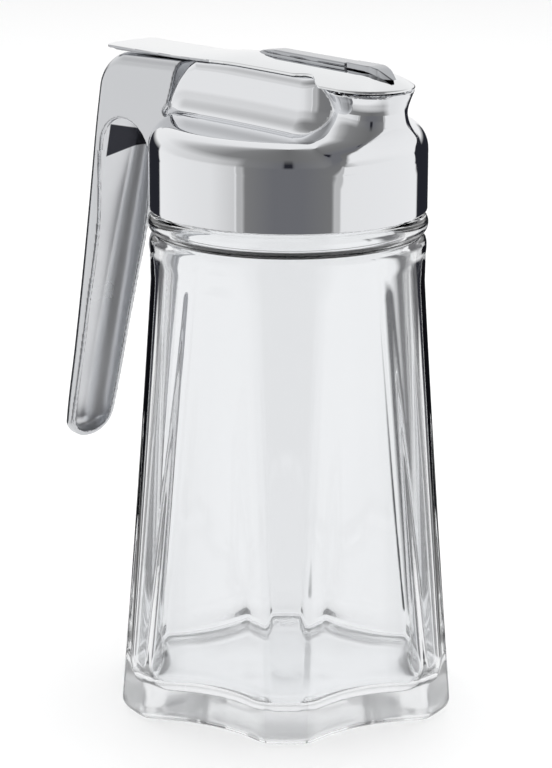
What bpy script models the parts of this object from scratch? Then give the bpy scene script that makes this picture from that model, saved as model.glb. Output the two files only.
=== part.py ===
"""Glass milk jug with a chrome pouring head, a trough handle and a sliding lid.

Metres, +Z up. The origin is the middle of the glass foot, on the table. The spout points
along +X and the handle along -X; the head is symmetric about the plane y = 0.
"""
import math

import bmesh
import bpy
import numpy as np

MM = 0.001

# Glass, in millimetres
LOBES = 6
LOBE_TURN = -42.0        # direction of one lobe's tip from +X, in degrees
FOOT_TIP_R = 45.0        # widest reach of the lobes, just above the heel
NECK_R = 34.6            # round part of the glass under the head
FLARE_TOP = 115.0        # height where the lobes run out into the round neck
FLARE_POWER = 1.12       # how the lobes widen towards the foot
PANEL_LINE = ((4.0, 38.2), (109.0, 33.9), (114.0, 34.8))   # height, distance from the axis to a panel's middle
PANEL_CURVE = 44.0       # radius of the hollow across a panel
PANEL_BLEND = 0.5        # softening where a panel meets a lobe
HEEL_R = 3.2             # rounding of the foot
WALL = 3.6               # measured towards the axis
FLOOR = 6.5
FLOOR_R = 7.0            # rounding inside, between floor and wall
BEAD_R, BEAD_Z0, BEAD_Z1 = 34.9, 119.9, 125.3
THROAT_R, THROAT_IN_R, MOUTH_Z = 31.3, 27.9, 138.6

# Pouring head
BAND_R, BAND_Z0 = 34.7, 125.8
SHOULDER_R, SHOULDER_Z, SHOULDER_POWER = 6.0, 139.0, 2.4   # its width, its start and how square it is
DOME_Z = 147.4
HEAD_WALL = 1.5
RIDGE_HALF = 9.8
RIDGE_FRONT = 24.0       # the ridge's narrowed front end, inside the back of the spout
RIDGE_EDGE_R = 1.5
RIDGE_BACK = -34.6       # foot of the ridge's leaning back wall
RIDGE_CURL = 13.6        # length of the curve from the back wall into the top
RIDGE_LOW, RIDGE_TOP = 148.2, 162.5
CROWN_R = 19.0           # rounding across the ridge and the lid
LIP_X, LIP_R, LIP_Z = 28.85, 10.9, 159.0
SPOUT_WALL = 1.25

# Lid
LID_TOP, LID_THICK, LID_GAP = 163.4, 0.6, 0.3
LID_TRAVEL = 12.0
TAB_Z, TAB_END_X, TAB_HALF, TAB_CORNER = 160.05, -61.5, 8.2, 3.0
RISE_X0, RISE_X1 = -39.0, -8.0   # where the lid climbs from the tab onto the ridge
RIB_X0, RIB_X1, RIB_HALF, RIB_RISE = -10.2, 22.6, 2.4, 1.4
NOSE_X0, NOSE_X1, NOSE_HALF = 22.95, 38.3, 2.1
NOSE_TOP, NOSE_LOW = 164.95, 163.7

# Handle
HANDLE_WALL = 1.4
HANDLE_LEAN = 0.222      # outward lean of the handle, per unit of height
HANDLE_BACK = -64.9      # outer face at REF_Z
REF_Z = 145.0
HANDLE_LOW, HANDLE_TOP = 49.8, 158.8
CURL_TOP, CURL_LOW = 9.5, 5.0    # side-view rounding at the top and at the closed end
GRIP_Z0, GRIP_Z1, BLOCK_Z = 58.0, 113.0, 131.5


def material(name, colour, metallic, roughness, transmission=0.0):
    mat = bpy.data.materials.new(name)
    mat.use_nodes = True
    shader = mat.node_tree.nodes["Principled BSDF"]
    shader.inputs["Base Color"].default_value = (*colour, 1.0)
    shader.inputs["Metallic"].default_value = metallic
    shader.inputs["Roughness"].default_value = roughness
    shader.inputs["Transmission Weight"].default_value = transmission
    mat.diffuse_color = (*colour, 0.35 if transmission else 1.0)
    return mat


def mesh_object(name, points, faces, collection, mat=None, edges=()):
    """A mesh object from points in millimetres."""
    mesh = bpy.data.meshes.new(name)
    mesh.from_pydata([tuple(MM * c for c in p) for p in points], list(edges), faces)
    if faces:
        bm = bmesh.new()
        bm.from_mesh(mesh)
        bmesh.ops.remove_doubles(bm, verts=bm.verts, dist=1e-6)
        bmesh.ops.recalc_face_normals(bm, faces=bm.faces)
        bm.to_mesh(mesh)
        bm.free()
    obj = bpy.data.objects.new(name, mesh)
    collection.objects.link(obj)
    if mat:
        mesh.materials.append(mat)
    return obj


def turned(name, profile, steps, collection, mat=None):
    """A solid turned about Z from (radius, height) points, from the top of the axis down its outer side."""
    points = [(r, 0.0, z) for r, z in profile]
    edges = [(i, i + 1) for i in range(len(points) - 1)]
    obj = mesh_object(name, points, [], collection, mat, edges)
    screw = obj.modifiers.new("turn", "SCREW")
    screw.axis = "Z"
    screw.steps = screw.render_steps = steps
    screw.use_merge_vertices = True
    screw.merge_threshold = 0.00001
    return obj


def loft(rings):
    """Points and faces of a solid through closed rings of equal length, with flat ends."""
    count = len(rings[0])
    points = [p for ring in rings for p in ring]
    faces = []
    for i in range(len(rings) - 1):
        for j in range(count):
            k = (j + 1) % count
            a, b = i * count, (i + 1) * count
            faces.append((a + j, a + k, b + k, b + j))
    faces.append(tuple(reversed(range(count))))
    faces.append(tuple(range(len(points) - count, len(points))))
    return points, faces


def arc(cx, cz, r, start, end, steps):
    return [(cx + r * math.cos(math.radians(start + (end - start) * i / steps)),
             cz + r * math.sin(math.radians(start + (end - start) * i / steps))) for i in range(steps + 1)]


def boolean(obj, other, operation):
    mod = obj.modifiers.new(operation.lower() + "_" + other.name, "BOOLEAN")
    mod.operation = operation
    mod.solver = "EXACT"
    mod.object = other
    other.hide_render = True
    other.display_type = "WIRE"


def interp(x, xs, ys):
    return float(np.interp(x, xs, ys))


def ease(x, a, b):
    """0 before a, 1 after b, with soft ends."""
    t = min(max((x - a) / (b - a), 0.0), 1.0)
    return t * t * (3.0 - 2.0 * t)


def round_off(u):
    """How far a quarter circle has turned in, for u from 0 at its start to 1 at its end."""
    u = min(max(u, 0.0), 1.0)
    return 1.0 - math.sqrt(1.0 - u * u)


# Glass jug
def flare(z):
    """Radius of the lobes' tips at a height."""
    if z >= FLARE_TOP:
        return NECK_R
    return NECK_R + (FOOT_TIP_R - NECK_R) * ((FLARE_TOP - z) / (FLARE_TOP - 4.0)) ** FLARE_POWER


def glass_radius(angle, z, wall=0.0):
    """Distance from the axis to the lobed outside, or to the inside when a wall is taken off it."""
    tip = flare(z) - wall
    step = 360.0 / LOBES
    near = (math.degrees(angle) - LOBE_TURN + step / 2) % step - step / 2
    off = math.radians(step / 2 - abs(near))
    mid = interp(z, *zip(*PANEL_LINE))
    # the hollow across a panel is part of a circle whose nearest point is mid from the axis
    c, s = math.cos(off), math.sin(off)
    far = mid + PANEL_CURVE
    inside = (PANEL_CURVE + wall) ** 2 - (far * s) ** 2
    panel = far * c - math.sqrt(inside) if inside > 0 else 1e3
    blend = max(0.0, 1.0 - abs(tip - panel) / (2 * PANEL_BLEND))
    return min(tip, panel) - blend ** 2 * PANEL_BLEND / 2


def glass_ring(z, inset, steps, round_r=None, wall=0.0):
    ring = []
    for j in range(steps):
        a = math.radians(LOBE_TURN) + 2 * math.pi * j / steps
        r = (glass_radius(a, z, wall) if round_r is None else round_r) - inset
        ring.append((r * math.cos(a), r * math.sin(a), z))
    return ring


def glass_jug(collection, mat):
    steps = 12 * LOBES
    rings = []
    for t in (90, 62, 36, 14):
        s, c = math.sin(math.radians(t)), math.cos(math.radians(t))
        rings.append(glass_ring(HEEL_R * (1 - s), HEEL_R * (1 - c), steps))
    for z in (4.0, 10.0, 20.0, 35.0, 52.0, 70.0, 86.0, 98.0, 106.0, 109.0, 112.0, 114.0):
        rings.append(glass_ring(z, 0.0, steps))
    outside = [(116.5, NECK_R), (BEAD_Z0 - 0.6, NECK_R), (BEAD_Z0 + 0.5, BEAD_R), (BEAD_Z1 - 0.6, BEAD_R),
               (BEAD_Z1, BEAD_R - 0.7), (BEAD_Z1, THROAT_R + 0.6), (BEAD_Z1 + 0.6, THROAT_R),
               (MOUTH_Z - 1.0, THROAT_R), (MOUTH_Z, THROAT_R - 1.0)]
    inside = [(MOUTH_Z, THROAT_IN_R + 1.0), (MOUTH_Z - 1.0, THROAT_IN_R), (122.0, THROAT_IN_R), (117.0, 30.2)]
    rings += [glass_ring(z, 0.0, steps, round_r=r) for z, r in outside + inside]
    for z in (111.0, 98.0, 80.0, 60.0, 40.0, 24.0, FLOOR + FLOOR_R):
        rings.append(glass_ring(z, 0.0, steps, wall=WALL))
    for t in (25, 50, 72):
        s, c = math.sin(math.radians(t)), math.cos(math.radians(t))
        rings.append(glass_ring(FLOOR + FLOOR_R * (1 - s), FLOOR_R * (1 - c), steps, wall=WALL))
    rings.append(glass_ring(FLOOR, FLOOR_R + 2.0, steps, wall=WALL))
    return mesh_object("glass_jug", *loft(rings), collection, mat)


# Sliding lid
def sag(d):
    return CROWN_R - math.sqrt(max(CROWN_R ** 2 - d * d, 0.0))


def lid_rise(x):
    return 0.35 * ease(x, RISE_X0, -26.0) + 0.65 * ease(x, -33.0, RISE_X1)


def lid_height(x, y):
    """Height of the lid's upper face."""
    rise = lid_rise(x)
    d = math.hypot(x - LIP_X, y) if x > LIP_X else abs(y)
    return TAB_Z + (LID_TOP - TAB_Z) * rise - sag(d) * (0.1 + 0.9 * rise)


def lid_half(x):
    """Half width of the lid at x."""
    if x > LIP_X:
        return math.sqrt(max(LIP_R ** 2 - (x - LIP_X) ** 2, 0.0))
    half = interp(x, [-34.0, -24.0, 18.6, 19.8, 22.6], [TAB_HALF, 8.5, 8.6, 9.6, LIP_R])
    end = (x - TAB_END_X) / TAB_CORNER
    return half - TAB_CORNER * round_off(1.0 - end) if end < 1.0 else half


def raised_bar(xs, half_of, top_of, low_of):
    """A narrow bar along X across y = 0, with soft upper corners."""
    rings = []
    for x in xs:
        h, top, low = half_of(x), top_of(x), low_of(x)
        mid = max(low + 0.15, top - 0.45)
        side = [(h, low), (h, mid), (0.72 * h, max(mid, top - 0.1))]
        rings.append([(x, y, z) for y, z in side + [(0.0, top)] + [(-y, z) for y, z in reversed(side)]])
    return loft(rings)


def sliding_lid(collection, tools, mat):
    xs = [TAB_END_X + d for d in (0.02, 0.4, 1.2, 2.2, 3.0)] + [-50.0, -42.0, -37.0, -33.0, -29.0, -25.0, -21.0]
    xs += [-17.0, -13.0, -8.0, 4.0, 18.6, 19.8, 21.2, 22.6, 26.0]
    xs += [LIP_X + LIP_R * math.sin(math.radians(t)) for t in (0, 15, 30, 44, 57, 69, 79, 86, 89.2)]
    across = (-1.0, -0.8, -0.55, -0.28, 0.0, 0.28, 0.55, 0.8, 1.0)
    rows = [[(x, lid_half(x) * f, lid_height(x, lid_half(x) * f)) for f in across] for x in xs]
    rings = [row + [(x, y, z - LID_THICK) for x, y, z in reversed(row)] for row in rows]
    lid = mesh_object("sliding_lid", *loft(rings), collection, mat)

    def width(x):
        return RIB_HALF * interp(x - RIB_X0, [0.0, 0.8, 2.5, 6.0, 31.0], [0.12, 0.4, 0.62, 0.74, 1.0])

    def top(x):
        return LID_TOP + RIB_RISE * (1.0 - 0.9 * round_off(1.0 - (x - RIB_X0) / 6.0))

    xs = [RIB_X0 + d for d in (0.0, 0.6, 1.8, 4.0, 8.0, 18.0)] + [RIB_X1]
    rib = raised_bar(xs, width, top, lambda x: lid_height(x, 0.0) - 0.45)
    boolean(lid, mesh_object("rib_block", *rib, tools), "UNION")
    return lid


def lid_nose(collection, mat):
    def width(x):
        return NOSE_HALF * interp(x, [NOSE_X0, 32.0, 34.5, 36.5, NOSE_X1], [1.0, 1.0, 0.8, 0.5, 0.1])

    def top(x):
        return NOSE_TOP - 1.7 * ease(x, 32.5, 40.0)

    def low(x):
        return NOSE_LOW - 1.1 * ease(x, 31.0, NOSE_X1)

    xs = [NOSE_X0, LIP_X, 31.0, 33.0, 34.5, 35.5, 36.5, 37.5, NOSE_X1]
    nose = raised_bar(xs, width, top, low)
    return mesh_object("lid_nose", *nose, collection, mat)


# Pouring head
def ridge_top(x):
    """Height of the ridge along its middle: a leaning back wall that curls over under the lid."""
    u = min((x - RIDGE_BACK) / RIDGE_CURL, 1.0)
    back = RIDGE_LOW + (RIDGE_TOP - RIDGE_LOW) * max(1.0 - (1.0 - u) ** 2, 0.0) ** 0.6
    lid = min(lid_height(x, 0.0), lid_height(x + LID_TRAVEL, 0.0))
    return min(back, lid - LID_THICK - LID_GAP)


def ridge_section(x, half, low, top):
    """Points across the ridge at x: a flat-sided block with a crowned top."""
    brow = half - RIDGE_EDGE_R
    high = top - sag(brow)
    side = [(half, low)]
    side += [(brow + RIDGE_EDGE_R * math.cos(math.radians(t)), high - RIDGE_EDGE_R * (1 - math.sin(math.radians(t))))
             for t in (0, 30, 60)]
    side += [(brow * f, top - sag(brow * f)) for f in (1.0, 0.66, 0.33)]
    return [(x, y, z) for y, z in side + [(0.0, top)] + [(-y, z) for y, z in reversed(side)]]


def ridge_solid(inset, low, x_from, x_to):
    xs = [RIDGE_BACK + d for d in (0.0, 0.5, 1.2, 2.2, 3.6, 5.4, 7.6, 10.4, 13.6, 19.0, 26.0, 34.0)] + [10.0]
    rings = []
    for x in [x_from] + [x for x in xs if x_from + 0.5 < x < x_to - 3.0]:
        rings.append(ridge_section(x, RIDGE_HALF - inset, low, ridge_top(x - inset) - inset))
    if inset:
        rings.append(ridge_section(x_to, RIDGE_HALF - inset, low, ridge_top(10.0) - inset))
    else:
        for back_by, half in ((7.0, 9.8), (5.6, 9.6), (4.4, 8.9), (3.4, 8.3), (2.0, 8.0), (0.0, 8.0)):
            rings.append(ridge_section(x_to - back_by, half, low, ridge_top(x_to - back_by)))
    return loft(rings)


SPOUT_STATIONS = (       # height, distance forward, radius
    (140.0, 18.5, 16.1), (143.0, 19.6, 15.8), (145.5, 21.8, 15.6), (147.2, 25.0, 14.2), (148.6, 26.9, 12.2),
    (150.4, 28.6, 10.0), (153.8, 29.5, 8.9), (156.5, 29.4, 9.6), (LIP_Z, LIP_X, LIP_R))
SPOUT_REACH = ((140.0, 34.65), (143.0, 35.1), (146.0, 36.7), (149.0, 38.0), (152.0, 38.9), (LIP_Z, 39.75))


def spout_solid(inset, below, above):
    stations = list(SPOUT_STATIONS)
    if above:
        stations = [(stations[0][0] - below, 18.0, 14.0)] + stations + [(LIP_Z + above, LIP_X, LIP_R)]
    rings = []
    for z, x, r in stations:
        turns = [2 * math.pi * j / 36 for j in range(36)]
        around = [(x + (r - inset) * math.cos(a), (r - inset) * math.sin(a)) for a in turns]
        reach = interp(z, *zip(*SPOUT_REACH)) - inset
        pull = [min(1.0, reach / math.hypot(px, py)) for px, py in around]
        rings.append([(px * k, py * k, z) for (px, py), k in zip(around, pull)])
    return loft(rings)


def pouring_head(collection, tools, mat):
    shell = [(0.0, DOME_Z), (20.0, DOME_Z - 0.1)]
    for t in (84, 72, 58, 44, 30, 16, 0):
        out, up = (f(math.radians(t)) ** (2.0 / SHOULDER_POWER) for f in (math.cos, math.sin))
        shell.append((BAND_R - SHOULDER_R * (1.0 - out), SHOULDER_Z + (DOME_Z - 0.2 - SHOULDER_Z) * up))
    shell += [(BAND_R, BAND_Z0 + 0.5), (BAND_R - 0.5, BAND_Z0), (0.0, BAND_Z0)]
    head = turned("pouring_head", shell, 72, collection, mat)
    boolean(head, mesh_object("ridge_block", *ridge_solid(0.0, 144.3, RIDGE_BACK, RIDGE_FRONT), tools), "UNION")
    boolean(head, mesh_object("spout_block", *spout_solid(0.0, 0.0, 0.0), tools), "UNION")
    inner_r = BAND_R - HEAD_WALL
    hollow = [(0.0, DOME_Z - 1.9)] + arc(inner_r - 3.2, SHOULDER_Z + 1.5, 3.2, 84, 0, 3)
    hollow += [(inner_r, BAND_Z0 - 2.0), (0.0, BAND_Z0 - 2.0)]
    boolean(head, turned("cap_hollow", hollow, 72, tools), "DIFFERENCE")
    boolean(head, mesh_object("ridge_hollow", *ridge_solid(HEAD_WALL, 138.0, -28.0, 16.6), tools), "DIFFERENCE")
    boolean(head, mesh_object("spout_hollow", *spout_solid(SPOUT_WALL, 4.0, 6.0), tools), "DIFFERENCE")
    return head


# Handle
def handle_back(z):
    x = HANDLE_BACK - (REF_Z - z) * HANDLE_LEAN
    x += 9.5 * round_off((z - HANDLE_TOP + CURL_TOP) / CURL_TOP)
    return x + 4.0 * round_off((HANDLE_LOW + CURL_LOW - z) / CURL_LOW)


def handle_front(z):
    """The open side: the grip's rim low down, the edge beside the ridge higher up."""
    if z > BLOCK_Z:
        return interp(z, [142.0, 145.0, 148.0, 159.0], [-32.6, -36.3, -35.2, -31.2])
    grip = interp(z, [GRIP_Z0, GRIP_Z1, BLOCK_Z], [-78.0, -64.2, -63.0])
    return grip - 1.6 * round_off((HANDLE_LOW + CURL_LOW + 1.0 - z) / (CURL_LOW + 1.0))


def handle_half(z):
    half = interp(z, [52.0, 136.0], [7.0, 9.85])
    half -= 4.4 * round_off((HANDLE_LOW + CURL_LOW - z) / CURL_LOW)
    return half - 1.9 * round_off((z - HANDLE_TOP + 2.6) / 2.6)


def handle_section(z, back, front, half, rnd):
    """A block seen from above, rounded at its outer end and square towards the jug."""
    rnd = min(rnd, half - 0.05, front - back - 0.4)
    turn = [(rnd * (1 - math.sin(math.radians(t))), rnd * (1 - math.cos(math.radians(t))))
            for t in (0, 18, 36, 54, 72, 90)]
    side = [(front, half)] + [(back + a, half - b) for a, b in turn]
    return [(x, y, z) for x, y in side] + [(x, -y, z) for x, y in reversed(side)]


def handle(collection, tools, mat):
    def rounding(z):
        return interp(z, [52.0, 80.0, 110.0, 140.0, 158.0], [6.0, 6.4, 6.0, 4.4, 3.0])

    low = [HANDLE_LOW + CURL_LOW * (1 - math.cos(math.radians(t))) for t in (0, 22, 45, 68, 90)]
    grip = [62.0, 74.0, 88.0, 100.0, GRIP_Z1, 122.0, BLOCK_Z]
    block = [BLOCK_Z + 0.3, 137.0, 142.0, 145.0, 148.0]
    high = [HANDLE_TOP - CURL_TOP * (1 - math.sin(math.radians(t))) for t in (0, 22, 42, 60, 76, 90)]
    rings = [handle_section(z, handle_back(z), handle_front(z), handle_half(z), rounding(z))
             for z in low + grip + block + high]
    obj = mesh_object("handle", *loft(rings), collection, mat)
    t = HANDLE_WALL
    inner = [handle_section(z + t, handle_back(z) + t, -20.0, handle_half(z) - t, rounding(z) - t) for z in low]
    inner += [handle_section(z, handle_back(z) + 1.03 * t, -20.0, handle_half(z) - t, rounding(z) - t)
              for z in grip + block[1:]]
    inner += [handle_section(z - t, handle_back(z) + t, -20.0, handle_half(z) - t, rounding(z) - t) for z in high[2:]]
    boolean(obj, mesh_object("handle_hollow", *loft(inner), tools), "DIFFERENCE")

    # the finger arch through both sides, a half ellipse on upright legs
    arch = [(-62.8, 128.0)]
    arch += [(-52.2 - 10.2 * math.cos(math.radians(a)), 131.6 + 10.4 * math.sin(math.radians(a)))
             for a in range(0, 181, 18)]
    arch += [(-41.6, 128.0)]
    cut = [[(x, y, z) for x, z in arch] for y in (-14.0, 14.0)]
    boolean(obj, mesh_object("finger_arch", *loft(cut), tools), "DIFFERENCE")
    keep_off = [(0.0, 147.0), (BAND_R - 1.5, 147.0), (BAND_R + 0.35, 144.4), (BAND_R + 0.35, 120.0), (0.0, 120.0)]
    boolean(obj, turned("cap_clearance", keep_off, 72, tools), "DIFFERENCE")
    return obj


def build():
    for obj in list(bpy.data.objects):
        bpy.data.objects.remove(obj)
    scene = bpy.context.scene
    parts = bpy.data.collections.new("milk_jug")
    tools = bpy.data.collections.new("cutters")
    scene.collection.children.link(parts)
    scene.collection.children.link(tools)
    glass = material("clear_glass", (0.9, 0.94, 0.95), 0.0, 0.02, 1.0)
    chrome = material("chrome", (0.82, 0.83, 0.85), 1.0, 0.05)
    handle_chrome = material("handle_chrome", (0.78, 0.79, 0.81), 1.0, 0.12)
    lid_steel = material("lid_steel", (0.85, 0.86, 0.88), 1.0, 0.08)
    nose_steel = material("nose_steel", (0.6, 0.61, 0.63), 1.0, 0.15)
    glass_jug(parts, glass)
    pouring_head(parts, tools, chrome)
    handle(parts, tools, handle_chrome)
    sliding_lid(parts, tools, lid_steel)
    lid_nose(parts, nose_steel)


build()
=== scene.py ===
"""A clear glass milk jug with a chrome pouring head, a trough handle and a sliding lid."""
import math

import bpy
import numpy as np
from mathutils import Euler, Matrix


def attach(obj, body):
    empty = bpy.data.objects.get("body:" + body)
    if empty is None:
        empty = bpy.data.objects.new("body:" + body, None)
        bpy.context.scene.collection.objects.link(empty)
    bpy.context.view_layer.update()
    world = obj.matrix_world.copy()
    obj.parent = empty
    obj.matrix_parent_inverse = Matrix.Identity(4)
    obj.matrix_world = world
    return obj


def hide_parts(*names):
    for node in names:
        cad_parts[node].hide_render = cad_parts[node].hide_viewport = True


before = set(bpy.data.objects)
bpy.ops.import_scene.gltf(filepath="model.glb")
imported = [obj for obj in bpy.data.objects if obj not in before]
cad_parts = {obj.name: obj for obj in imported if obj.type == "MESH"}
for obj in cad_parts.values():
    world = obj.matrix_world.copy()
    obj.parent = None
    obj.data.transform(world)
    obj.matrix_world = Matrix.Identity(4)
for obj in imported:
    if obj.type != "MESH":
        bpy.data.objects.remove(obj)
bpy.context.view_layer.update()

# Glass jug
# Pressed from one gob of clear glass: six flaring lobes with hollowed panels between them,
# a round neck with a collar bead, and an open throat that the head screws over.
MM = 0.001                                      # lengths below are in millimetres
LOBES, LOBE_TURN = 6, -42.0
FOOT_TIP_R, FOOT_TIP_Z, NECK_R, FLARE_TOP, FLARE_POWER = 44.9, 4.0, 34.6, 115.0, 1.12
PANEL_LINE = ((4.0, 38.2), (109.0, 33.9), (114.0, 34.8))        # height, distance from the axis
PANEL_CURVE, PANEL_BLEND = 44.0, 0.9
HEEL_R, WALL, FLOOR, FLOOR_R = 3.2, 3.6, 6.5, 7.0
GROOVE = ((116.4, 34.6), (117.6, 34.5), (118.5, 34.2), (119.0, 33.7), (119.3, 33.3), (119.7, 33.1))
BEAD_R, BEAD_Z, BEAD_ROUND = 32.3, 122.4, 2.6   # middle and radius of the collar bead's round
THROAT_R, THROAT_IN_R, MOUTH_Z = 31.3, 27.9, 138.6
THROAT_FOOT = ((122.0, 28.2), (119.5, 29.2), (117.0, 30.4))     # inside, from the throat to the lobes


def glass_reach(off_tip, z, wall=0.0):
    """Distance from the axis to the lobed outside, off_tip radians from a lobe's middle, less a wall."""
    flare = max(FLARE_TOP - z, 0.0) / (FLARE_TOP - FOOT_TIP_Z)
    tip = NECK_R + (FOOT_TIP_R - NECK_R) * flare ** FLARE_POWER - wall
    off_panel = math.pi / LOBES - np.abs(off_tip)
    far = np.interp(z, *zip(*PANEL_LINE)) + PANEL_CURVE
    across = far * np.sin(off_panel)
    panel = far * np.cos(off_panel) - np.sqrt(np.maximum((PANEL_CURVE + wall) ** 2 - across ** 2, 1e-6))
    soft = np.maximum(0.0, 1.0 - np.abs(tip - panel) / (2 * PANEL_BLEND))
    return np.minimum(tip, panel) - soft ** 2 * PANEL_BLEND / 2


def one_lobe():
    """A sixth of the glass as an open shell, from the middle of the base to the middle of the floor."""
    half = math.pi / LOBES
    u = np.linspace(-1.0, 1.0, 57)
    off = half * (0.55 * u + 0.45 * u ** 3)
    rows = [(0.0, off * 0)]
    foot = glass_reach(off, FOOT_TIP_Z) - HEEL_R
    rows += [(0.9 * (1 - f ** 3), foot * f) for f in (0.2, 0.4, 0.6, 0.75, 0.88)] + [(0.0, foot * 0.93)]
    for t in np.radians(np.linspace(90, 0, 9)):
        z = HEEL_R * (1 - math.sin(t))
        rows.append((z, glass_reach(off, z) - HEEL_R * (1 - math.cos(t))))
    heights = np.concatenate([np.arange(5, 100, 3.0), np.arange(100, 116, 1.0)])
    rows += [(z, glass_reach(off, z)) for z in heights]
    neck = list(GROOVE)
    neck += [(BEAD_Z + BEAD_ROUND * math.sin(t), BEAD_R + BEAD_ROUND * math.cos(t))
             for t in np.radians(np.arange(-64, 91, 14))]
    neck += [(125.2, 32.2), (125.4, 31.7), (126.0, THROAT_R)]
    neck += [(MOUTH_Z - 1.2, THROAT_R), (MOUTH_Z - 0.3, THROAT_R - 0.5), (MOUTH_Z, THROAT_R - 1.2)]
    neck += [(MOUTH_Z, THROAT_IN_R + 1.2), (MOUTH_Z - 0.3, THROAT_IN_R + 0.4), (MOUTH_Z - 1.2, THROAT_IN_R)]
    neck += [(126.0, THROAT_IN_R), *THROAT_FOOT]
    rows += [(z, off * 0 + r) for z, r in neck]
    inside = list(np.arange(114.0, 99, -1.5)) + list(np.arange(99.0, FLOOR + FLOOR_R, -3.0))
    rows += [(z, glass_reach(off, z, WALL)) for z in inside]
    for t in np.radians(np.linspace(0, 84, 8)):
        z = FLOOR + FLOOR_R * (1 - math.sin(t))
        rows.append((z, glass_reach(off, z, WALL) - FLOOR_R * (1 - math.cos(t))))
    last = rows[-1][1]
    rows += [(FLOOR + 0.03, last * f) for f in (0.85, 0.65, 0.4)] + [(FLOOR, off * 0)]
    points = [(r * math.cos(a) * MM, r * math.sin(a) * MM, z * MM)
              for z, reach in rows for a, r in zip(off, reach)]
    n = len(off)
    faces = [(i * n + j, i * n + j + 1, (i + 1) * n + j + 1, (i + 1) * n + j)
             for i in range(len(rows) - 1) for j in range(n - 1)]
    mesh = bpy.data.meshes.new("one_lobe")
    mesh.from_pydata(points, [], faces)
    return bpy.data.objects.new("one_lobe", mesh)


def clear_glass(name, roughness, clearness):
    """Glass with the faint waves of pressing; clearness below 1 scatters some of the light."""
    mat = bpy.data.materials.new(name)
    mat.use_nodes = True
    nodes, links = mat.node_tree.nodes, mat.node_tree.links
    shader = nodes["Principled BSDF"]
    shader.inputs["Base Color"].default_value = (0.95, 0.958, 0.968, 1.0)
    shader.inputs["Roughness"].default_value = roughness
    shader.inputs["IOR"].default_value = 1.5
    shader.inputs["Transmission Weight"].default_value = clearness
    place = nodes.new("ShaderNodeTexCoord")
    stretch = nodes.new("ShaderNodeMapping")
    stretch.inputs["Scale"].default_value = (1.0, 1.0, 0.35)
    waves = nodes.new("ShaderNodeTexNoise")
    waves.inputs["Scale"].default_value = 55.0
    waves.inputs["Detail"].default_value = 1.5
    bump = nodes.new("ShaderNodeBump")
    bump.inputs["Strength"].default_value = 0.12
    bump.inputs["Distance"].default_value = 0.0006
    links.new(place.outputs["Object"], stretch.inputs["Vector"])
    links.new(stretch.outputs["Vector"], waves.inputs["Vector"])
    links.new(waves.outputs["Fac"], bump.inputs["Height"])
    links.new(bump.outputs["Normal"], shader.inputs["Normal"])
    return mat


def lobes_round_axis():
    """Turns one lobe into the whole glass and welds the seams."""
    tree = bpy.data.node_groups.new("lobes_round_axis", "GeometryNodeTree")
    face = tree.interface
    face.new_socket("Lobe", in_out="INPUT", socket_type="NodeSocketGeometry")
    face.new_socket("Lobes", in_out="INPUT", socket_type="NodeSocketInt")
    face.new_socket("First Lobe Turn", in_out="INPUT", socket_type="NodeSocketFloat")
    face.new_socket("Glass", in_out="INPUT", socket_type="NodeSocketMaterial")
    face.new_socket("Jug", in_out="OUTPUT", socket_type="NodeSocketGeometry")
    new, link = tree.nodes.new, tree.links.new
    given, result = new("NodeGroupInput"), new("NodeGroupOutput")
    spots = new("GeometryNodePoints")
    link(given.outputs["Lobes"], spots.inputs["Count"])
    index = new("GeometryNodeInputIndex")
    share = new("ShaderNodeMath")
    share.operation = "DIVIDE"
    link(index.outputs[0], share.inputs[0])
    link(given.outputs["Lobes"], share.inputs[1])
    angle = new("ShaderNodeMath")
    angle.operation = "MULTIPLY_ADD"
    angle.inputs[1].default_value = 2 * math.pi
    link(share.outputs[0], angle.inputs[0])
    link(given.outputs["First Lobe Turn"], angle.inputs[2])
    turn = new("ShaderNodeCombineXYZ")
    link(angle.outputs[0], turn.inputs["Z"])
    put = new("GeometryNodeInstanceOnPoints")
    link(spots.outputs[0], put.inputs["Points"])
    link(given.outputs["Lobe"], put.inputs["Instance"])
    link(turn.outputs[0], put.inputs["Rotation"])
    real = new("GeometryNodeRealizeInstances")
    link(put.outputs[0], real.inputs[0])
    weld = new("GeometryNodeMergeByDistance")
    weld.inputs["Distance"].default_value = 0.002 * MM
    link(real.outputs[0], weld.inputs["Geometry"])
    smooth = new("GeometryNodeSetShadeSmooth")
    link(weld.outputs[0], smooth.inputs["Geometry"])
    paint = new("GeometryNodeSetMaterial")
    link(smooth.outputs[0], paint.inputs["Geometry"])
    link(given.outputs["Glass"], paint.inputs["Material"])
    link(paint.outputs[0], result.inputs["Jug"])
    return tree


def grown(obj, tree, name, **values):
    """The plain mesh object that a Geometry Nodes tree makes of obj, with its inputs set by name."""
    bpy.context.scene.collection.objects.link(obj)
    mod = obj.modifiers.new(name, "NODES")
    mod.node_group = tree
    sockets = {s.name: s.identifier for s in tree.interface.items_tree
               if s.item_type == "SOCKET" and s.in_out == "INPUT"}
    for key, value in values.items():
        mod[sockets[key.replace("_", " ")]] = value
    graph = bpy.context.evaluated_depsgraph_get()
    mesh = bpy.data.meshes.new_from_object(obj.evaluated_get(graph), depsgraph=graph)
    bpy.data.objects.remove(obj)
    mesh.name = name
    made = bpy.data.objects.new(name, mesh)
    bpy.context.scene.collection.objects.link(made)
    return made


glass_finish = clear_glass("clear_pressed_glass", 0.0, 1.0)
jug_glass = grown(one_lobe(), lobes_round_axis(), "jug_glass", Lobes=LOBES,
                  First_Lobe_Turn=math.radians(LOBE_TURN), Glass=glass_finish)
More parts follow.
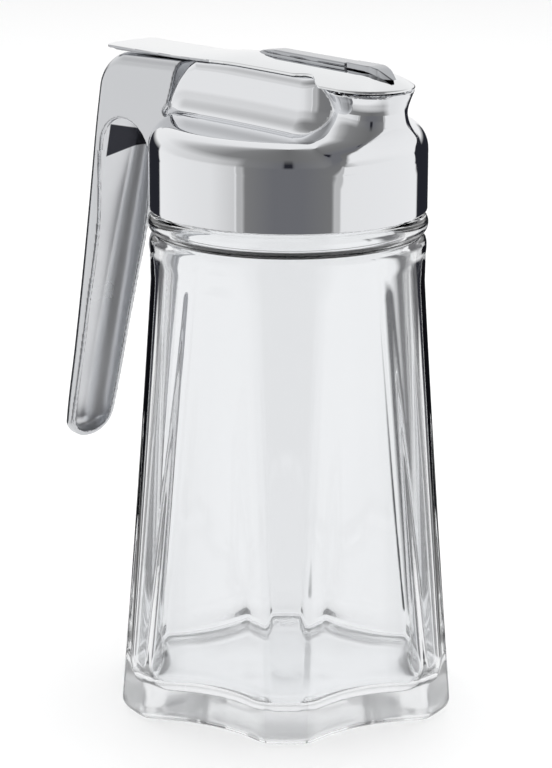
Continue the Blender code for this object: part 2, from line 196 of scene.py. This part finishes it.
# the underside of the base is stippled, so that it doesn't cling to a wet table
jug_glass.data.materials.clear()
jug_glass.data.materials.append(glass_finish)
jug_glass.data.materials.append(clear_glass("stippled_base", 0.16, 0.58))
under = [int(p.center.z < 1.0 * MM) for p in jug_glass.data.polygons]
jug_glass.data.polygons.foreach_set("material_index", under)
jug_glass.visible_shadow = False
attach(jug_glass, "jug")
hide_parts("glass_jug")

# Pouring head
# Die-cast and chrome-plated: a cap with a rounded shoulder, a flat-sided ridge across its dome
# for the lid to ride on, and a spout that flares out of the cap's front. It screws onto the glass.
BAND_R, BAND_Z0, SHOULDER_R, SHOULDER_Z, SHOULDER_POWER, DOME_Z = 34.7, 125.8, 6.0, 139.0, 2.4, 147.7
RIDGE_HALF, RIDGE_FRONT, CROWN_R = 9.8, 27.0, 19.0
RIDGE_CURL_X, RIDGE_CURL, RIDGE_FOOT, RIDGE_RISE = -21.0, 13.6, 148.2, 14.3     # its rounded back end
NARROW_X, NARROW_SLOPE, NARROW_SOFT = 14.5, 0.72, 4.0                           # its closing front end
JOIN_Z, JOIN_FILLET, CAP_WALL, SPOUT_WALL = 140.0, 5.0, 1.5, 1.2
LIP_X, LIP_R, LIP_Z = 28.85, 10.9, 159.0
# the spout by height: its middle, its radius, and how far from the jug's axis its front may reach
SPOUT_X = ((140, 22.0), (144, 24.5), (146, 26.8), (147.4, 28.2), (148.8, 28.9), (150.6, 29.2),
           (153.8, 29.5), (156.5, 29.4), (159, LIP_X))
SPOUT_R = ((140, 12.5), (144, 12.8), (146, 12.7), (147.4, 11.9), (148.8, 10.7), (150.6, 9.6),
           (153.8, 8.75), (156.5, 9.5), (159, LIP_R))
SPOUT_REACH = ((140, 34.7), (143, 35.0), (146, 36.6), (149, 38.0), (152, 38.9), (156, 39.35),
               (159.1, 39.75))
LID_TOP, LID_THICK, LID_TRAVEL, LID_ROOM = 163.4, 0.6, 12.0, 0.9
TAB_Z, TAB_END_X, TAB_HALF, TAB_CORNER = 160.05, -61.45, 8.2, 2.2


def both(a, b, r):
    """Inside two shapes at once, with the edge where they meet rounded to r."""
    return np.minimum(np.maximum(a, b), -r) + np.hypot(np.maximum(a + r, 0.0), np.maximum(b + r, 0.0))


def either(a, b, r):
    """Inside one shape or the other, with a fillet of r where they meet."""
    return np.maximum(np.minimum(a, b), r) - np.hypot(np.maximum(r - a, 0.0), np.maximum(r - b, 0.0))


def soft_line(t, stations):
    """A smooth line through (position, value) stations, level beyond its ends."""
    p, v = np.array(stations, float).T
    slope = np.gradient(v, p)
    t = np.clip(t, p[0], p[-1])
    k = np.clip(np.searchsorted(p, t) - 1, 0, len(p) - 2)
    h = p[k + 1] - p[k]
    u = (t - p[k]) / h
    return ((1 + 2 * u) * (1 - u) ** 2 * v[k] + u * (1 - u) ** 2 * h * slope[k]
            + u * u * (3 - 2 * u) * v[k + 1] - u * u * (1 - u) * h * slope[k + 1])


def skin(field, low, high, cell):
    """Points, faces and outward directions of the closed surface where field(x, y, z) crosses zero."""
    axes = [np.arange(a, b + cell, cell) for a, b in zip(low, high)]
    value = field(*np.meshgrid(*axes, indexing="ij", sparse=True))
    value = np.broadcast_to(value, [len(a) for a in axes])
    inside = value < 0
    shape = [n - 1 for n in value.shape]
    corners = [(i, j, k) for i in (0, 1) for j in (0, 1) for k in (0, 1)]
    count = sum(inside[i:shape[0] + i, j:shape[1] + j, k:shape[2] + k].astype(np.int8)
                for i, j, k in corners)
    cells = np.argwhere((count > 0) & (count < 8))
    total, hits = np.zeros(cells.shape), np.zeros(len(cells))
    for a in corners:
        for b in corners:
            if sum(b) - sum(a) == 1 and sum(abs(p - q) for p, q in zip(a, b)) == 1:
                va = value[tuple((cells + a).T)]
                vb = value[tuple((cells + b).T)]
                cross = (va < 0) != (vb < 0)
                t = np.where(cross, va / np.where(cross, va - vb, 1.0), 0.0)
                spot = np.array(a) + t[:, None] * (np.array(b) - np.array(a))
                total += np.where(cross[:, None], spot, 0.0)
                hits += cross
    points = np.array(low) + cell * (cells + total / hits[:, None])

    def lean(p):
        e = 0.02
        return np.stack([(field(*(p + np.eye(3)[k] * e).T) - field(*(p - np.eye(3)[k] * e).T)) / (2 * e)
                         for k in range(3)], axis=1)
    for _ in range(4):
        g = lean(points)
        step = field(*points.T) / np.maximum((g * g).sum(axis=1), 0.05)
        points = points - np.clip(step, -0.3 * cell, 0.3 * cell)[:, None] * g
    g = lean(points)
    g /= np.maximum(np.linalg.norm(g, axis=1), 1e-9)[:, None]
    number = np.full(shape, -1)
    number[tuple(cells.T)] = np.arange(len(cells))
    quads = []
    for d in range(3):
        e, f = (d + 1) % 3, (d + 2) % 3
        one, two = [slice(1, -1)] * 3, [slice(1, -1)] * 3
        one[d], two[d] = slice(0, -1), slice(1, None)
        change = inside[tuple(one)].astype(np.int8) - inside[tuple(two)]
        at = np.argwhere(change != 0)
        sign = change[tuple(at.T)]
        at[:, e] += 1
        at[:, f] += 1
        ring = []
        for de, df in ((-1, -1), (0, -1), (0, 0), (-1, 0)):
            c = at.copy()
            c[:, e] += de
            c[:, f] += df
            ring.append(number[tuple(c.T)])
        ring = np.stack(ring, axis=1)
        quads.append(np.where(sign[:, None] > 0, ring, ring[:, ::-1]))
    return points, np.concatenate(quads), g


def skinned(name, field, low, high, cell, mat):
    """A smooth mesh object of one closed surface."""
    points, quads, outward = skin(field, low, high, cell)
    mesh = bpy.data.meshes.new(name)
    mesh.from_pydata((points * MM).tolist(), [], quads.tolist())
    mesh.polygons.foreach_set("use_smooth", [True] * len(mesh.polygons))
    mesh.normals_split_custom_set_from_vertices(outward.tolist())
    mesh.materials.append(mat)
    obj = bpy.data.objects.new(name, mesh)
    bpy.context.scene.collection.objects.link(obj)
    return obj


def sag(d):
    """How far the crowned ridge has fallen at a distance d from its middle."""
    return CROWN_R - np.sqrt(np.maximum(CROWN_R ** 2 - d * d, 1.0))


def ease(t, a, b):
    """Goes softly from 0 at a to 1 at b."""
    u = np.clip((t - a) / (b - a), 0.0, 1.0)
    return u * u * (3.0 - 2.0 * u)


def lid_height(x, y):
    """Height of the lid's upper face: the flat tab, the climb onto the ridge, the fall over the spout."""
    rise = 0.18 * np.clip((x + 60.0) / 22.0, 0.0, 1.0)
    rise = rise + 0.17 * ease(x, -39.0, -26.0) + 0.65 * ease(x, -33.0, -8.0)
    d = np.hypot(np.maximum(x - LIP_X, 0.0), y)
    return TAB_Z + (LID_TOP - TAB_Z) * rise - sag(d) * (0.1 + 0.9 * rise)


def spout_side(x, y, z):
    """Outside the spout's round wall, above 0; inside it, below."""
    return np.hypot(x - soft_line(z, SPOUT_X), y) - soft_line(z, SPOUT_R)


def head_outside(x, y, z):
    """The head as if solid: the cap, the ridge and the spout, run together with fillets."""
    r = np.hypot(x, y)
    out = np.maximum(r - BAND_R + SHOULDER_R, 0.0) / SHOULDER_R
    up = np.maximum(z - SHOULDER_Z, 0.0) / (DOME_Z - 0.4 * (r / 30.0) ** 2 - SHOULDER_Z)
    bulge = (out ** SHOULDER_POWER + up ** SHOULDER_POWER + 1e-9) ** (1.0 / SHOULDER_POWER)
    cap = (bulge - 1.0) * SHOULDER_R
    curl = np.minimum((x - RIDGE_CURL_X) / RIDGE_CURL, 0.0)
    climb = np.maximum((z + sag(y) - RIDGE_FOOT) / RIDGE_RISE, 0.0)
    back_and_top = ((curl ** 2 + climb ** (5 / 3)) ** 0.55 - 1.0) * RIDGE_RISE
    # the ridge stays under the lid both when it is closed and when it is pulled right back
    lid_over = np.minimum(lid_height(x, y), lid_height(x + LID_TRAVEL, y))
    back_and_top = np.maximum(back_and_top, z - lid_over + LID_ROOM)
    bend = np.maximum(x - NARROW_X, 0.0)
    half = RIDGE_HALF - NARROW_SLOPE * (np.hypot(bend, NARROW_SOFT) - NARROW_SOFT)
    ridge = both(both(back_and_top, np.abs(y) - half, 1.6), x - RIDGE_FRONT, 0.5)
    spout = both(spout_side(x, y, z), z - LIP_Z, 0.4)
    with_ridge = either(cap, both(ridge, JOIN_Z - z, 0.1), JOIN_FILLET)
    with_spout = either(cap, both(spout, JOIN_Z - z, 0.1), JOIN_FILLET)
    body = either(with_ridge, with_spout, 0.3 + 0.45 * ease(z, 148.5, 151.5))
    return both(both(body, r - soft_line(z, SPOUT_REACH), 0.4), BAND_Z0 - z, 0.5)


def head_hollow(x, y, z):
    """The room inside the cap and the spout, open below and at the lip."""
    r = np.hypot(x, y)
    cap = both(r - BAND_R + CAP_WALL, z - DOME_Z + 2.2, 4.2)
    channel = both(spout_side(x, y, z), r - soft_line(z, SPOUT_REACH), 0.4) + SPOUT_WALL
    return np.minimum(cap, both(channel, 138.0 - z, 0.1))


def bright_chrome(name, colour, roughness, haze_size, haze):
    """Chrome plate with the faint cloudiness and waviness of a polished casting."""
    mat = bpy.data.materials.new(name)
    mat.use_nodes = True
    nodes, links = mat.node_tree.nodes, mat.node_tree.links
    shader = nodes["Principled BSDF"]
    shader.inputs["Metallic"].default_value = 1.0
    shader.inputs["Base Color"].default_value = (*colour, 1.0)
    place = nodes.new("ShaderNodeTexCoord")
    cloud = nodes.new("ShaderNodeTexNoise")
    cloud.inputs["Scale"].default_value = haze_size
    cloud.inputs["Detail"].default_value = 3.0
    spread = nodes.new("ShaderNodeMapRange")
    limits = {"From Min": 0.3, "From Max": 0.7, "To Min": roughness, "To Max": roughness + haze}
    for side, value in limits.items():
        spread.inputs[side].default_value = value
    bump = nodes.new("ShaderNodeBump")
    bump.inputs["Strength"].default_value = 0.05
    bump.inputs["Distance"].default_value = 0.0004
    links.new(place.outputs["Object"], cloud.inputs["Vector"])
    links.new(cloud.outputs["Fac"], spread.inputs["Value"])
    links.new(spread.outputs["Result"], shader.inputs["Roughness"])
    links.new(cloud.outputs["Fac"], bump.inputs["Height"])
    links.new(bump.outputs["Normal"], shader.inputs["Normal"])
    return mat


head_chrome = bright_chrome("head_chrome", (0.83, 0.84, 0.86), 0.03, 60.0, 0.03)
head_shell = skinned("head_shell", lambda x, y, z: both(head_outside(x, y, z), -head_hollow(x, y, z), 0.3),
                     (-36.0, -36.0, 124.9), (41.0, 36.0, 163.5), 0.55, head_chrome)
# the inside of the cap and of the spout's foot is dull, and painted nearly black: painted shade for the
# deep hollow
dull_and_shaded = bright_chrome("dull_painted_shade_inside", (0.035, 0.036, 0.042), 0.35, 45.0, 0.1)
head_shell.data.materials.append(dull_and_shaded)
middles = np.array([p.center for p in head_shell.data.polygons]) / MM
in_deep_shade = (np.abs(head_hollow(*middles.T)) < 0.15) & (middles[:, 2] < 150.0)
head_shell.data.polygons.foreach_set("material_index", in_deep_shade.astype(np.int32))
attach(head_shell, "jug")
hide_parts("pouring_head")

# Handle
# Pressed from chromed sheet: a trough that is open towards the jug, rounded off at its lower end,
# with a finger arch cut through both sides below the block that is fixed to the head.
HANDLE_WALL, HANDLE_LEAN, HANDLE_BACK, HANDLE_LOW, HANDLE_TOP = 1.3, 0.222, -64.9, 49.8, 158.8
TOP_SLOPE, TOP_ROUND, HANDLE_END_R = 0.045, 9.0, 4.6
# by height: half width, rounding of the back edges, and the open side below and beside the head
HANDLE_HALF = ((49, 6.6), (58, 7.3), (75, 7.8), (100, 8.6), (125, 9.4), (140, 9.85), (160, 9.85))
HANDLE_ROUND = ((49, 6.2), (80, 6.4), (110, 5.8), (140, 4.4), (158, 3.6))
HANDLE_RIM = ((49, -80.2), (52, -79.2), (58, -77.6), (88, -70.2), (113, -64.3), (132, -63.0))
HANDLE_FRONT = ((143, -32.0), (145, -36.2), (148, -34.8), (151.7, -33.5), (155.7, -32.3), (159, -31.1))
ARCH_X, ARCH_HALF, ARCH_Z, ARCH_RISE = -52.2, 10.1, 131.6, 10.2


def handle_block(x, y, z, shrink, top_round):
    """The closed outside of the handle, pulled in by shrink."""
    back = (HANDLE_BACK - (145.0 - z) * HANDLE_LEAN - x) * 0.976 + shrink
    side = np.abs(y) - soft_line(z, HANDLE_HALF) + shrink
    rounding = np.maximum(soft_line(z, HANDLE_ROUND) - shrink, 1.0)
    around = both(back, z - HANDLE_TOP - TOP_SLOPE * (x + 50.0) + shrink, top_round)
    around = both(around, HANDLE_LOW + shrink - z, HANDLE_END_R - shrink)
    return both(around, side, rounding)


def handle_sheet(x, y, z):
    """The handle's sheet metal: a hollow block, cut open towards the jug, with the arch cut through."""
    hollow = handle_block(x, y, z, HANDLE_WALL, TOP_ROUND - HANDLE_WALL)
    shell = both(handle_block(x, y, z, 0.0, TOP_ROUND), -hollow, 0.3)
    rim = x - soft_line(z, HANDLE_RIM)
    front = np.minimum(rim, both(x - soft_line(z, HANDLE_FRONT), ARCH_Z - z, 0.4))
    shell = both(shell, front, 0.35)
    across = np.abs(x - ARCH_X) / ARCH_HALF
    arch = np.where(z > ARCH_Z, np.hypot(across, (z - ARCH_Z) / ARCH_RISE) - 1.0, across - 1.0) * ARCH_HALF
    shell = both(shell, -both(arch, 126.0 - z, 0.1), 0.35)
    r = np.hypot(x, y)
    keep_off = both(r - BAND_R - 0.4, z - 147.0, 2.6)
    return both(shell, -keep_off, 0.2)


handle_finish = bright_chrome("handle_chrome", (0.65, 0.66, 0.68), 0.14, 45.0, 0.06)
handle_trough = skinned("handle_trough", handle_sheet, (-86.0, -11.0, 48.6), (-30.0, 11.0, 160.0), 0.5,
                        handle_finish)


def painted_shade_patch(mat, sides):
    """Paints a near-black patch of shade and dark reflection into a plating's colour inside all of the
    given planes, each (x, y, z, offset) in millimetres.
    """
    nodes, links = mat.node_tree.nodes, mat.node_tree.links
    place = nodes.new("ShaderNodeTexCoord")
    reach = None
    for *across, offset in sides:
        dot = nodes.new("ShaderNodeVectorMath")
        dot.operation = "DOT_PRODUCT"
        dot.inputs[1].default_value = across
        links.new(place.outputs["Object"], dot.inputs[0])
        edge = nodes.new("ShaderNodeMapRange")
        edge.inputs["From Min"].default_value = (offset - 0.12) * MM
        edge.inputs["From Max"].default_value = (offset + 0.12) * MM
        links.new(dot.outputs["Value"], edge.inputs["Value"])
        if reach is None:
            reach = edge.outputs["Result"]
            continue
        within = nodes.new("ShaderNodeMath")
        within.operation = "MULTIPLY"
        links.new(reach, within.inputs[0])
        links.new(edge.outputs["Result"], within.inputs[1])
        reach = within.outputs[0]
    # mixes the painted shade's near-black into the base colour
    shade_mix = nodes.new("ShaderNodeMix")
    shade_mix.data_type = "RGBA"
    shade_mix.inputs[6].default_value = nodes["Principled BSDF"].inputs["Base Color"].default_value
    shade_mix.inputs[7].default_value = (0.04, 0.041, 0.05, 1.0)
    links.new(reach, shade_mix.inputs["Factor"])
    links.new(shade_mix.outputs[2], nodes["Principled BSDF"].inputs["Base Color"])


# the inside is less polished, with a near-black patch of painted shade and dark reflection up in the block
trough_inside = bright_chrome("handle_inside", (0.8, 0.81, 0.83), 0.26, 45.0, 0.06)
painted_shade_patch(trough_inside, ((0.0, -0.2, 1.0, 129.6), (0.0, -0.23, -1.0, -137.0), (0.0, 1.0, 0.0, -3.5)))
handle_trough.data.materials.append(trough_inside)
middles = np.array([p.center for p in handle_trough.data.polygons]) / MM
inner = handle_block(*middles.T, HANDLE_WALL, TOP_ROUND - HANDLE_WALL) < 0.12
handle_trough.data.polygons.foreach_set("material_index", inner.astype(np.int32))
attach(handle_trough, "jug")
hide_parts("handle")

# Sliding lid
# One strip of polished sheet steel: a flat thumb tab with its edges folded down, a crowned stretch
# over the ridge and a round cover over the spout. It slides back under the thumb.
LID_HALF = ((-64, TAB_HALF), (-34, TAB_HALF), (-24, 8.5), (10, 8.55), (18.6, 8.6), (20.0, 9.7),
            (22.6, LIP_R), (24, LIP_R))
HEM, HEM_LOW, HEM_END = 0.7, 158.9, -31.0


def lid_sheet(x, y, z):
    """The plate, a little thicker over the ridge than over the spout, with the tab's folded edges."""
    top = lid_height(x, y)
    sheet = LID_THICK + 0.16 * (1.0 - ease(x, 17.0, 21.0))
    thick = np.abs(z - top + sheet / 2) - sheet / 2
    half = soft_line(x, LID_HALF)
    strip = both(np.abs(y) - half, x - LIP_X, 0.01)
    strip = both(strip, TAB_END_X - x, TAB_CORNER)
    outline = np.minimum(strip, np.hypot(x - LIP_X, y) - LIP_R)
    plate = both(thick, outline, 0.25)
    over_handle = HANDLE_TOP + 0.3 + TOP_SLOPE * (x + 50.0)
    low = np.maximum(np.maximum(HEM_LOW, over_handle), 159.9 - 0.3 * (x + 60.3))
    low = low + 2.2 * ease(x, -42.0, HEM_END)
    hem = both(both(np.maximum(outline, -outline - HEM), low - z, 0.2), z - top + 0.1, 0.1)
    return either(plate, both(hem, x - HEM_END, 0.1), 0.2)


lid_finish = bright_chrome("lid_steel", (0.87, 0.88, 0.89), 0.05, 70.0, 0.03)
hem_dull_and_shaded = bright_chrome("lid_hem_painted_shade", (0.5, 0.51, 0.53), 0.12, 70.0, 0.03)
lid_plate = skinned("lid_plate", lid_sheet, (-62.6, -12.0, 157.4), (41.0, 12.0, 166.0), 0.24, lid_finish)
# the folded hem along the tab's edges is duller than the face, and painted darker: painted shade for its
# downturned sides
lid_plate.data.materials.append(hem_dull_and_shaded)
middles = np.array([p.center for p in lid_plate.data.polygons]) / MM
hem = (middles[:, 0] < -20.0) & (middles[:, 2] < lid_height(middles[:, 0], middles[:, 1]) - 0.12)
lid_plate.data.polygons.foreach_set("material_index", hem.astype(np.int32))
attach(lid_plate, "lid")
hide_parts("sliding_lid")

# Lid rib and nose
# A rib folded up along the middle of the lid, pointed at its back end, and ahead of it a short
# nose that bends down with the round cover until its pointed tip rests on it.
RIB_X0, RIB_X1, RIB_HALF, RIB_TOP, RIB_SINK, FOLD_Z = -10.2, 22.6, 2.4, 164.8, 0.3, 163.85
NOSE_X0, NOSE_X1, NOSE_HALF, NOSE_LOW, NOSE_TOP = 22.95, 38.3, 2.1, 163.7, 164.95
NOSE_POINT = ((22, 1.0), (33.2, 1.0), (34.5, 0.86), (38.3, 0.1))      # share of its half width


def rib_bar(x, y, z):
    """The rib, with the fold's seam as a fine groove along its sides."""
    start = np.sqrt(np.clip((x - RIB_X0) / 7.0, 0.0, 1.0))
    half = RIB_HALF * (0.25 + 0.6 * start + 0.15 * ease(x, RIB_X0, RIB_X1))
    foot = LID_TOP - RIB_SINK
    rib = both(np.abs(y) - half, z - (foot + (RIB_TOP - foot) * start), 0.4)
    seam = both(np.abs(z - FOLD_Z) - 0.14, half - 0.4 - np.abs(y), 0.02)
    rib = both(both(rib, -seam, 0.03), np.maximum(RIB_X0 - x, x - RIB_X1), 0.25)
    return both(rib, lid_height(x, y) - RIB_SINK - z, 0.05)


def nose_block(x, y, z):
    """The nose, with two shallow dents down its sides."""
    half = NOSE_HALF * soft_line(x, NOSE_POINT)
    half = half - 0.16 * np.exp(-((x - 30.9) / 0.7) ** 2) - 0.12 * np.exp(-((x - 33.6) / 0.4) ** 2)
    lid = lid_height(x, 0.0)
    top = np.minimum(NOSE_TOP, lid + 1.7 - 0.9 * ease(x, 33.0, NOSE_X1))
    low = np.minimum(NOSE_LOW, lid + 0.2 - 0.35 * ease(x, 28.0, 34.0))
    nose = both(both(np.abs(y) - half, z - top, 0.3), np.maximum(NOSE_X0 - x, x - NOSE_X1), 0.12)
    return both(nose, low - z, 0.05)


# the rib and nose are painted a darker grey than the lid's steel of the same sheet: painted shade and
# reflection of their upright sides
rib_shaded_steel = bright_chrome("rib_steel_painted_shade", (0.47, 0.48, 0.50), 0.12, 90.0, 0.05)
lid_rib = skinned("lid_rib", rib_bar, (-11.0, -3.2, 162.0), (23.4, 3.2, 165.6), 0.16, rib_shaded_steel)
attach(lid_rib, "lid")
nose_cap = skinned("nose_cap", nose_block, (22.2, -2.8, 162.2), (39.0, 2.8, 165.6), 0.12, rib_shaded_steel)
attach(nose_cap, "lid")
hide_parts("lid_nose")

# Table and backdrop
# A plain pale table that runs out of sight under a white surround.
floor_mesh = bpy.data.meshes.new("table_top")
floor_mesh.from_pydata([(-6, -6, 0), (6, -6, 0), (6, 6, 0), (-6, 6, 0)], [], [(0, 1, 2, 3)])
table_top = bpy.data.objects.new("table_top", floor_mesh)
bpy.context.scene.collection.objects.link(table_top)
table_paint = bpy.data.materials.new("table_white")
table_paint.use_nodes = True
paint = table_paint.node_tree.nodes["Principled BSDF"]
paint.inputs["Base Color"].default_value = (0.96, 0.96, 0.96, 1.0)
paint.inputs["Roughness"].default_value = 0.6
floor_mesh.materials.append(table_paint)
table_top.visible_glossy = False
table_top.visible_transmission = False

# Studio
# White cloth all round and overhead, open towards the camera, where the dim room shows grey, and
# two low black panels behind the jug that draw the dark lines along its edges. A lamp hangs overhead.
VIEW_TURN, VIEW_RISE, VIEW_ROLL = 48.0, 14.97, 0.22


def ramp(tree, value, stops):
    """A colour ramp on value, with (position, grey or colour) stops."""
    node = tree.nodes.new("ShaderNodeValToRGB")
    elements = node.color_ramp.elements
    while len(elements) < len(stops):
        elements.new(0.5)
    for element, (at, tone) in zip(elements, stops):
        element.position = at
        element.color = (*(tone if isinstance(tone, tuple) else (tone, tone, tone)), 1.0)
    tree.links.new(value, node.inputs["Fac"])
    return node.outputs["Color"]


def round_about(stops):
    """Ramp stops from (degrees to the right of the camera, tone) pairs."""
    return [(0.5 + turn / 360.0, tone) for turn, tone in stops]


world = bpy.data.worlds.new("studio")
bpy.context.scene.world = world
world.use_nodes = True
tree = world.node_tree
tree.nodes.clear()
out = tree.nodes.new("ShaderNodeOutputWorld")
way = tree.nodes.new("ShaderNodeTexCoord")
turned = tree.nodes.new("ShaderNodeMapping")
turned.inputs["Rotation"].default_value = (0.0, 0.0, math.radians(90.0 - VIEW_TURN))
tree.links.new(way.outputs["Generated"], turned.inputs["Vector"])
circle = tree.nodes.new("ShaderNodeTexGradient")
circle.gradient_type = "RADIAL"
tree.links.new(turned.outputs["Vector"], circle.inputs["Vector"])
height = tree.nodes.new("ShaderNodeSeparateXYZ")
tree.links.new(way.outputs["Generated"], height.inputs[0])

OPENING, BLACK = (0.165, 0.167, 0.18), (0.02, 0.021, 0.028)
# well below the table's edge: the shade of the room, wider on the left
under_cloth = ramp(tree, circle.outputs["Fac"], round_about([
    (-180, 0.95), (-125, 0.93), (-95, 0.35), (-60, 0.24), (0, 0.17), (40, 0.22), (62, 0.85),
    (120, 0.95), (180, 0.95)]))
# about level: the black panels behind, and a bright frame with a grey strip either side of the opening
low_cloth = ramp(tree, circle.outputs["Fac"], round_about([
    (-180, 0.95), (-163, 0.95), (-161, BLACK), (-132, BLACK), (-130, 0.95), (-66, 0.86),
    (-44.4, 0.68), (-43.8, 1.0), (-43.0, 0.5), (-38.0, 0.5), (-37.3, 1.0), (-36.4, 0.22),
    (-12, OPENING), (12, OPENING),
    (36.4, 0.2), (37.3, 1.0), (38.0, 0.55), (43.0, 0.55), (43.8, 1.0), (44.4, 0.9),
    (130, 0.95), (132, BLACK), (168, BLACK), (169.5, 0.95), (180, 0.95)]))
# above the opening's middle: no panels, and the camera's dark lens
middle_cloth = ramp(tree, circle.outputs["Fac"], round_about([
    (-180, 0.97), (-135, 0.93), (-105, 0.8), (-66, 0.68), (-44, 0.5), (-36.4, 0.24),
    (-4.5, OPENING), (-3.5, BLACK), (3.5, BLACK), (4.5, OPENING),
    (36.4, 0.24), (44, 0.9), (180, 0.97)]))
# overhead: white behind, grey towards the camera
high_cloth = ramp(tree, circle.outputs["Fac"], round_about([
    (-180, 0.95), (-140, 0.9), (-105, 0.5), (-60, 0.25), (0, 0.17), (60, 0.25), (105, 0.5),
    (140, 0.9), (180, 0.95)]))


def blend_up(low, high, start, end):
    """Goes from a low tone to a high one between two heights, -1 straight down and 1 straight up."""
    rise = tree.nodes.new("ShaderNodeMapRange")
    rise.inputs["From Min"].default_value, rise.inputs["From Max"].default_value = start, end
    tree.links.new(height.outputs["Z"], rise.inputs["Value"])
    mixed = tree.nodes.new("ShaderNodeMix")
    mixed.data_type = "RGBA"
    tree.links.new(rise.outputs["Result"], mixed.inputs["Factor"])
    for colour, socket in ((low, mixed.inputs[6]), (high, mixed.inputs[7])):
        if isinstance(colour, float):
            socket.default_value = (colour, colour, colour, 1.0)
        else:
            tree.links.new(colour, socket)
    return mixed.outputs[2]


surround = blend_up(under_cloth, low_cloth, -0.40, -0.34)
surround = blend_up(blend_up(surround, middle_cloth, 0.02, 0.15), high_cloth, 0.34, 0.6)
surround = blend_up(0.95, surround, -0.8, -0.6)
seen = tree.nodes.new("ShaderNodeBackground")
tree.links.new(surround, seen.inputs["Color"])
plain = tree.nodes.new("ShaderNodeBackground")
plain.inputs["Color"].default_value = (1.0, 1.0, 1.0, 1.0)
ray = tree.nodes.new("ShaderNodeLightPath")
pick = tree.nodes.new("ShaderNodeMixShader")
tree.links.new(ray.outputs["Is Camera Ray"], pick.inputs["Fac"])
tree.links.new(seen.outputs[0], pick.inputs[1])
tree.links.new(plain.outputs[0], pick.inputs[2])
tree.links.new(pick.outputs[0], out.inputs["Surface"])

soft_box = bpy.data.lights.new("soft_box", "AREA")
soft_box.shape, soft_box.size, soft_box.energy = "DISK", 2.6, 30.0
overhead = bpy.data.objects.new("soft_box", soft_box)
bpy.context.scene.collection.objects.link(overhead)
overhead.location = (0.0, 0.0, 1.6)
overhead.visible_glossy = overhead.visible_transmission = False

# Camera
# Stands as the photograph's did: 0.82 m off, 15 degrees up and 48 degrees round from the side.
DISTANCE, AIM_LEFT, AIM_Z, LENS = 820.0, 2.82, 80.14, 152.72
a, e = math.radians(VIEW_TURN), math.radians(VIEW_RISE)
target = np.array((-AIM_LEFT * math.cos(a), -AIM_LEFT * math.sin(a), AIM_Z))
back = np.array((math.sin(a) * math.cos(e), -math.cos(a) * math.cos(e), math.sin(e)))
eye = bpy.data.cameras.new("camera")
eye.lens, eye.sensor_width, eye.clip_start = LENS, 36.0, 0.05
camera = bpy.data.objects.new("camera", eye)
bpy.context.scene.collection.objects.link(camera)
camera.location = (target + DISTANCE * back) * MM
level = Euler((math.pi / 2 - e, 0.0, a)).to_matrix()
camera.rotation_euler = (level @ Matrix.Rotation(math.radians(VIEW_ROLL), 3, "Z")).to_euler()
bpy.context.scene.camera = camera
bpy.context.scene.view_settings.view_transform = "Standard"
